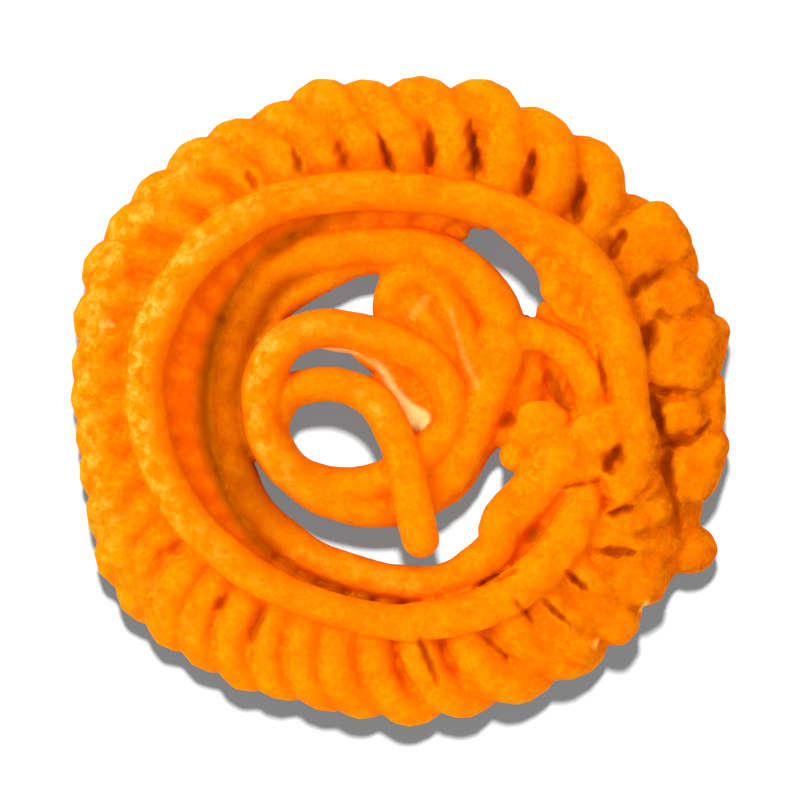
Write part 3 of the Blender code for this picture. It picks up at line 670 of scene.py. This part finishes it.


# The pit on the left, between the ring and the coil, is fried darkest and lies in the ring's shade,
# which is painted in: the inner turn in it is brown, partly from frying and partly painted shade, the
# inner ends of the loops are a red painted shade, and the gap between them is a deep brown painted
# shade. The crease that goes on below it is brown too, partly painted shade. Each zone is a range of
# distances from the middle, of angles and of heights, and each range has its softness.
ANY_DISTANCE = (-5.0, 60.0, 4.0)
ANY_HEIGHT = (-5.0, 20.0, 1.0)
INNER_TURN_ZONE = ((22.8, 29.4, 1.0), (130, 226, 36), (-5.0, 8.8, 1.5))
LOWER_CREASE_ZONE = ((27.0, 33.0, 1.6), (215, 300, 20), (-5.0, 7.2, 1.5))
LOOP_ENDS_ZONE = ((28.6, 37.4, 1.0), (85, 235, 40), (-5.0, 10.4, 1.5))
GAP_SHADE_ZONE = ((28.0, 30.6, 1.6), (106, 232, 24), (-5.0, 8.5, 2.0))
give(batter, "browned_and_shaded", np.maximum(zone(*INNER_TURN_ZONE), zone(*LOWER_CREASE_ZONE)))
give(batter, "red_shaded", zone(*LOOP_ENDS_ZONE))
give(batter, "gap_shade", zone(*GAP_SHADE_ZONE))

# The right side is darker than the rest: fried darker all over, with painted shade most of all on its
# flanks that face away from the side lamp. It is least dark on its crests, and lighter, as painted
# light, where it faces the upper left towards that lamp. Its angles are counted from straight below
# the middle.
RIGHT_DISTANCES = (37.5, 60.0, 3.0)
RIGHT_ANGLES = (34, 136, 40)
CREST_FACING = Vector((-0.50, 0.17, 0.85)).normalized()
CREST_NARROWING = 3
CREST_HEIGHTS = (0.45, 9.0, 1.1)    # range of how far a crest stands out
FLANK_FACING = Vector((0.85, -0.25, -0.45)).normalized()
FLANK_REACH = 0.35                  # how far past square to that a flank still counts
DARK_EVERYWHERE = 0.98
FLANK_SHADE = 0.8
LIT_PALER = 0.30
CREST_PALER = 0.50
# How far each point faces the side lamp on the upper left: the lit crests take painted light, painted
# glints and painted highlights.
crests = np.clip(normals @ CREST_FACING, 0, 1) ** CREST_NARROWING
flanks = np.clip(FLANK_REACH + normals @ FLANK_FACING, 0, 1)
right = within((angles + 90) % 360, *RIGHT_ANGLES) * within(distances, *RIGHT_DISTANCES)
dark_and_shade_amount = DARK_EVERYWHERE + FLANK_SHADE * flanks - LIT_PALER * crests
dark_and_shade_amount -= CREST_PALER * within(raised, *CREST_HEIGHTS)
give(batter, "lit", crests)
give(batter, "dark_and_shaded", right * np.clip(dark_and_shade_amount, 0, 1))

# Painted highlights lie pale on the crests that face the upper left, towards the side lamp: most on
# the left of the ring and of the frill's rim, then on the left of the coil and on the bottom of the
# inner turn.
HIGHLIGHT_ZONES = (
    (0.75, ((45.5, 60.0, 4.0), (115, 225, 60), ANY_HEIGHT)),
    (1.0, (ANY_DISTANCE, (115, 225, 60), (10.2, 20.0, 1.5))),
    (0.9, ((17.5, 23.0, 1.5), (130, 230, 40), ANY_HEIGHT)),
    (0.6, ((24.5, 30.0, 1.5), (235, 285, 20), ANY_HEIGHT)),
)
HIGHLIGHT_ELSEWHERE = 0.12
lamp_side_highlight = np.max([share * zone(*ranges) for share, ranges in HIGHLIGHT_ZONES], axis=0)
give(batter, "lamp_side_highlight", crests * (HIGHLIGHT_ELSEWHERE + (1 - HIGHLIGHT_ELSEWHERE) * lamp_side_highlight))

# The slits get painted shade inside, and the film is pale, most of all at its drop.
SLIT_SHADE_DEPTH = 2.2                     # the depth at which a slit is fully shaded
SLIT_HEIGHTS = (3.8, 20.0, 0.8)
FILM_HEIGHTS = (3.0, 8.0, 0.6)
FILM_SOFTNESS = 0.6
FILM_OVERLAP = 0.2                  # how far its colour runs on past its edges
FILM_THIN = 0.6                     # how pale it is before it widens into its drop
FILM_WIDENING = (-2.0, 2.0)         # from x to x
GLINT_OVERLAP = 0.3                  # the same two for the glints
GLINT_SOFTNESS = 0.4
give(batter, "slit", np.clip(slit_depths(places) / SLIT_SHADE_DEPTH, 0, 1) * within(heights, *SLIT_HEIGHTS))
pale = np.zeros(len(points))
for start, end in zip(FILM, FILM[1:]):
    part, away = beside(places, start[:2], end[:2])
    half = start[3] + (end[3] - start[3]) * part
    pale = np.maximum(pale, np.clip((half + FILM_OVERLAP - away) / FILM_SOFTNESS, 0, 1))
widening = np.interp(places[:, 0], FILM_WIDENING, (0, 1))
give(batter, "pale", pale * within(heights, *FILM_HEIGHTS) * (FILM_THIN + (1 - FILM_THIN) * widening))
# Painted glints at the listed places, only where the skin faces up.
glinted = np.zeros(len(points))
for x, y, next_x, next_y, width, share in GLINT_HIGHLIGHTS:
    away = beside(places, (x, y), (next_x, next_y))[1]
    glint_share = np.clip((width / 2 + GLINT_OVERLAP - away) / GLINT_SOFTNESS, 0, 1)
    glinted = np.maximum(glinted, share * glint_share * (normals[:, 2] > 0))
give(batter, "glinted", glinted)

# Colours of the syrup-soaked crust, from painted shade deep in a crease to a painted highlight on a lit
# ridge, and of what is laid over it: more painted shade and light, painted highlights and the film.
DEEP_SHADE = (0.56, 0.073, 0.0, 1.0)
SHADED = (0.86, 0.140, 0.0, 1.0)
OPEN = (0.94, 0.175, 0.0, 1.0)
CREASE_SHADE = (0.88, 0.142, 0.0, 1.0)
RIDGE_HIGHLIGHT = (0.95, 0.32, 0.0008, 1.0)
MOTTLED = (0.87, 0.140, 0.0, 1.0)
# Fried darkness and painted shade on the right side.
DARKER_AND_SHADE = (0.54, 0.086, 0.0, 1.0)
# Brown of frying with painted shade in the pit; red painted shade on the loops' ends; painted shade in the
# gap and the slits.
BROWNED_AND_SHADE = (0.49, 0.082, 0.0, 1.0)
RED_SHADE = (0.84, 0.108, 0.0, 1.0)
GAP_SHADE_BROWN = (0.52, 0.108, 0.0, 1.0)
SLIT_SHADE = (0.46, 0.068, 0.0, 1.0)
# Painted highlights, then the film's own pale colour.
GOLD_HIGHLIGHT = (0.98, 0.37, 0.002, 1.0)
PALE_HIGHLIGHT = (1.0, 0.52, 0.085, 1.0)
FILM_COLOUR = (0.98, 0.74, 0.25, 1.0)
SHELTER_SHADE_STEPS = ((0.08, DEEP_SHADE), (0.42, SHADED), (0.80, OPEN))

# Patterns of the crust: the grain in millimetres, then the detail and roughness of the noise. A
# spread gives the values between which a share grows, and the shares at both.
BLOTCHES = (6.0, 3.0, 0.5)
SPECKLES = (0.9, 4.0, 0.75)
CRUST_GRAIN = (0.65, 3.0, 0.65)
MOTTLES = ((5.2, 3.0, 0.6), (0.46, 0.66, 0.0, 0.42))
OPEN_LIGHT_PATCHES = ((3.4, 2.0, 0.6), (0.42, 0.62, 0.0, 0.34))
RIDGE_HIGHLIGHT_GRAIN = ((1.3, 4.0, 0.7), (0.34, 0.60, 0.35, 1.0))
SPARKLE_GLINTS = ((0.8, 4.0, 0.75), (0.44, 0.62, 0.0, 1.0))
SPARKLE_GLINT_PATCHES = ((3.0, 2.0, 0.5), (0.36, 0.60, 0.25, 1.0))
DARK_PATCHES = ((2.2, 3.0, 0.6), (0.36, 0.62, 0.55, 1.0))
DARK_GRAIN = ((0.75, 3.0, 0.6), (0.38, 0.60, 0.68, 1.0))
RED_SHADE_PATCHES = ((2.6, 3.0, 0.6), (0.30, 0.60, 0.45, 0.95))
PALE_HIGHLIGHT_PATCHES = ((2.0, 3.0, 0.5), (0.36, 0.66, 0.0, 1.0))
CREASE_SHADE_SPREAD = (0.25, -0.55, 0.0, 0.75)
RIDGE_HIGHLIGHT_SPREAD = (0.0, 0.40, 0.0, 1.0)
RIDGE_HIGHLIGHT_BLOTCHES = (0.3, 0.7, 0.45, 1.0)
OPEN_LIGHT_SPREAD = (0.3, 0.6, 0.0, 1.0)
SPECKLE_SPREAD = (0.46, 0.66, 0.0, 0.45)
BROWN_AND_SHADE_BLOTCHES = (0.3, 0.6, 0.65, 1.0)
GAP_SHADE_BLOTCHES = (0.25, 0.5, 0.7, 1.0)
PALE_HIGHLIGHT_SPECKLES = (0.30, 0.62, 0.25, 1.0)
ROUGHNESS_SPREAD = (0.3, 0.7, 0.42, 0.62)
BLOTCH_STRENGTH = 0.25              # how much the blotches shift the shade
SPARKLE_GLINT_STRENGTH = 0.70
SLIT_SHADE_STRENGTH = 0.85
GOLD_HIGHLIGHT_STRENGTH = 1.3                 # the gold highlight spreads wider than the pale highlight on it
CRUST_RELIEF = 0.16                 # mm
CRUST_STRENGTH = 0.8
SYRUP_DEPTH = 2.2                   # mm that light wanders inside

glaze = bpy.data.materials.new("syrup_glazed_batter")
glaze.use_nodes = True
nodes = glaze.node_tree.nodes
links = glaze.node_tree.links
shader = nodes["Principled BSDF"]


def node(kind, **settings):
    """A node of the glaze, with its settings."""
    made = nodes.new(kind)
    for name, value in settings.items():
        setattr(made, name, value)
    return made


def read(name):
    """A value kept for each point of the mesh."""
    return node("ShaderNodeAttribute", attribute_name=name).outputs["Fac"]


def ranged(value, low, high, to_low, to_high):
    """A value brought from one range to another, smoothly, without passing its ends."""
    made = node("ShaderNodeMapRange", interpolation_type="SMOOTHSTEP")
    links.new(value, made.inputs["Value"])
    limits = {"From Min": low, "From Max": high, "To Min": to_low, "To Max": to_high}
    for name, number in limits.items():
        made.inputs[name].default_value = number
    return made.outputs["Result"]


def pattern(size, detail, roughness):
    """Noise whose grain is a number of millimetres."""
    made = node("ShaderNodeTexNoise")
    links.new(position.outputs["Object"], made.inputs["Vector"])
    made.inputs["Scale"].default_value = 1 / (size * MM)
    made.inputs["Detail"].default_value = detail
    made.inputs["Roughness"].default_value = roughness
    return made.outputs["Fac"]


def patches(grain, spread):
    """A pattern turned into a share."""
    return ranged(pattern(*grain), *spread)


def arithmetic(operation, first, second):
    """One sum, product or other step between two values."""
    made = node("ShaderNodeMath", operation=operation)
    for socket, value in zip(made.inputs, (first, second)):
        if isinstance(value, float):
            socket.default_value = value
        else:
            links.new(value, socket)
    return made.outputs["Value"]


def product(first, *others):
    """Shares multiplied together."""
    for other in others:
        first = arithmetic("MULTIPLY", first, other)
    return first


def blended(share, under, over):
    """One colour laid over another."""
    made = node("ShaderNodeMix", data_type="RGBA")
    links.new(share, made.inputs["Factor"])
    links.new(under, made.inputs["A"])
    made.inputs["B"].default_value = over
    return made.outputs["Result"]


position = node("ShaderNodeTexCoord")
openness = read("openness")
blotches = pattern(*BLOTCHES)
speckles = pattern(*SPECKLES)
grain = pattern(*CRUST_GRAIN)
uneven = product(arithmetic("SUBTRACT", blotches, 0.5), BLOTCH_STRENGTH)
# Painted shade: the crust darkens where less of the room in front of its skin is free.
ramp = node("ShaderNodeValToRGB")
steps = ramp.color_ramp.elements
steps.new(0.5)
for step, (level, tint) in zip(steps, SHELTER_SHADE_STEPS):
    step.position = level
    step.color = tint
links.new(arithmetic("ADD", openness, uneven), ramp.inputs["Fac"])

# Painted shade in the creases that sink below the strand around them.
crease_shading = ranged(read("raised"), *CREASE_SHADE_SPREAD)
# Painted highlights on the ridges that stand out.
ridge_highlighting = product(ranged(read("proud"), *RIDGE_HIGHLIGHT_SPREAD), ranged(blotches, *RIDGE_HIGHLIGHT_BLOTCHES),
                 patches(*RIDGE_HIGHLIGHT_GRAIN))
# Painted light in random patches where the crust lies open.
painted_open_light = product(ranged(openness, *OPEN_LIGHT_SPREAD), patches(*OPEN_LIGHT_PATCHES))
# Painted glints on the crests that face the side lamp.
lamp_side_glints = product(patches(*SPARKLE_GLINTS), patches(*SPARKLE_GLINT_PATCHES), product(read("lit"), SPARKLE_GLINT_STRENGTH))
# Fried darkness and painted shade on the right side, in patches.
right_dark_and_shade = product(read("dark_and_shaded"), product(patches(*DARK_PATCHES), patches(*DARK_GRAIN)))
# Brown of frying with painted shade in the pit.
brown_and_shade_share = product(read("browned_and_shaded"), ranged(blotches, *BROWN_AND_SHADE_BLOTCHES))
# Red painted shade on the loops' inner ends beside the ring.
red_shade_share = product(read("red_shaded"), patches(*RED_SHADE_PATCHES))
# Deep brown painted shade in the gap between the loops' ends and the inner turn.
gap_shade = product(read("gap_shade"), ranged(blotches, *GAP_SHADE_BLOTCHES))
# Pale painted highlights on the lamp-facing crests.
pale_highlighting = product(patches(*PALE_HIGHLIGHT_PATCHES), ranged(speckles, *PALE_HIGHLIGHT_SPECKLES), read("lamp_side_highlight"))
colour = ramp.outputs["Color"]
# Each share lays a colour over the last: painted shade in creases, painted highlights on ridges, painted
# light in open places, random mottles, painted glints, fried darkness and painted shade on the right,
# frying brown and painted shade in the pit, painted shade in the gap and the slits, pale painted
# highlights and glints, and the film's own colour.
for share, tint in (
        (crease_shading, CREASE_SHADE),
        (ridge_highlighting, RIDGE_HIGHLIGHT),
        (painted_open_light, RIDGE_HIGHLIGHT),
        (patches(*MOTTLES), MOTTLED),
        (lamp_side_glints, GOLD_HIGHLIGHT),
        (ranged(speckles, *SPECKLE_SPREAD), MOTTLED),
        (right_dark_and_shade, DARKER_AND_SHADE),
        (brown_and_shade_share, BROWNED_AND_SHADE),
        (red_shade_share, RED_SHADE),
        (gap_shade, GAP_SHADE_BROWN),
        # Painted shade in the slits.
        (product(read("slit"), SLIT_SHADE_STRENGTH), SLIT_SHADE),
        (arithmetic("MINIMUM", product(pale_highlighting, GOLD_HIGHLIGHT_STRENGTH), 1.0), GOLD_HIGHLIGHT),
        (product(pale_highlighting, pale_highlighting), PALE_HIGHLIGHT),
        # Painted glints.
        (read("glinted"), PALE_HIGHLIGHT),
        (read("pale"), FILM_COLOUR)):
    colour = blended(share, colour, tint)
links.new(colour, shader.inputs["Base Color"])
links.new(ranged(grain, *ROUGHNESS_SPREAD), shader.inputs["Roughness"])
crust = node("ShaderNodeBump")
crust.inputs["Strength"].default_value = CRUST_STRENGTH
crust.inputs["Distance"].default_value = CRUST_RELIEF * MM
links.new(grain, crust.inputs["Height"])
links.new(crust.outputs["Normal"], shader.inputs["Normal"])
# Syrup has soaked in, so the crust glows a little from inside and hardly shines.
shader.inputs["IOR"].default_value = 1.15
shader.inputs["Specular IOR Level"].default_value = 0.02
shader.inputs["Specular Tint"].default_value = (1.0, 0.45, 0.03, 1.0)
shader.inputs["Subsurface Weight"].default_value = 0.35
shader.inputs["Subsurface Radius"].default_value = (1.0, 0.25, 0.04)
shader.inputs["Subsurface Scale"].default_value = SYRUP_DEPTH * MM

sweet = bpy.data.objects.new("jalebi_crust", batter)
bpy.context.collection.objects.link(sweet)
batter.materials.clear()
batter.materials.append(glaze)
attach(sweet, "root")
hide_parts("jalebi")


# Floor and light ---------------------------------------------------------------------------------
# A plain pale table that glows faintly, in a white room. One soft lamp stands on the left and one
# overhead, and they light the sweet. A third stands on the far side and lights the table, so that
# the shadow falls to the near side.

FLOOR_SIZE = 3.0
FLOOR_DROP = 0.02                   # mm between the table and the flats of the sweet
FLOOR_GREY = (0.05, 0.05, 0.05, 1.0)
FLOOR_GLOW = (0.97, 0.99, 1.0, 1.0)
FLOOR_GLOW_STRENGTH = 0.195
ROOM_WHITE = (1.0, 1.0, 1.0, 1.0)
floor_mesh = bpy.data.meshes.new("floor")
bm = bmesh.new()
bmesh.ops.create_grid(bm, x_segments=1, y_segments=1, size=FLOOR_SIZE / 2,
                      matrix=Matrix.Translation((0, 0, -FLOOR_DROP * MM)))
bm.to_mesh(floor_mesh)
bm.free()
floor = bpy.data.objects.new("floor", floor_mesh)
bpy.context.collection.objects.link(floor)
paper = bpy.data.materials.new("pale_table")
paper.use_nodes = True
table_top = paper.node_tree.nodes["Principled BSDF"]
table_top.inputs["Base Color"].default_value = FLOOR_GREY
table_top.inputs["Emission Color"].default_value = FLOOR_GLOW
table_top.inputs["Emission Strength"].default_value = FLOOR_GLOW_STRENGTH
table_top.inputs["Roughness"].default_value = 0.9
table_top.inputs["Specular IOR Level"].default_value = 0.0
floor_mesh.materials.append(paper)

world = bpy.data.worlds.new("room")
world.use_nodes = True
world.node_tree.nodes["Background"].inputs["Color"].default_value = ROOM_WHITE
world.node_tree.nodes["Background"].inputs["Strength"].default_value = 1.0
bpy.context.scene.world = world


def lamp(name, strength, softness, azimuth, elevation, lit):
    """A far, soft lamp that lights one object. Azimuth counts anticlockwise from +X."""
    light = bpy.data.lights.new(name, "SUN")
    light.energy = strength * math.pi
    light.angle = math.radians(softness)
    made = bpy.data.objects.new(name, light)
    turn, rise = math.radians(azimuth), math.radians(elevation)
    out = Vector((math.cos(turn) * math.cos(rise), math.sin(turn) * math.cos(rise), math.sin(rise)))
    made.rotation_euler = out.to_track_quat("Z", "Y").to_euler()
    bpy.context.collection.objects.link(made)
    receivers = bpy.data.collections.new(name + "_lights")
    receivers.objects.link(lit)
    made.light_linking.receiver_collection = receivers


# Strength, softness, azimuth and elevation, and what it lights.
lamp("side_lamp", 0.36, 30, 160, 50, sweet)
lamp("upper_lamp", 0.06, 120, 90, 88, sweet)
lamp("far_lamp", 22.0, 8, 94, 60, floor)
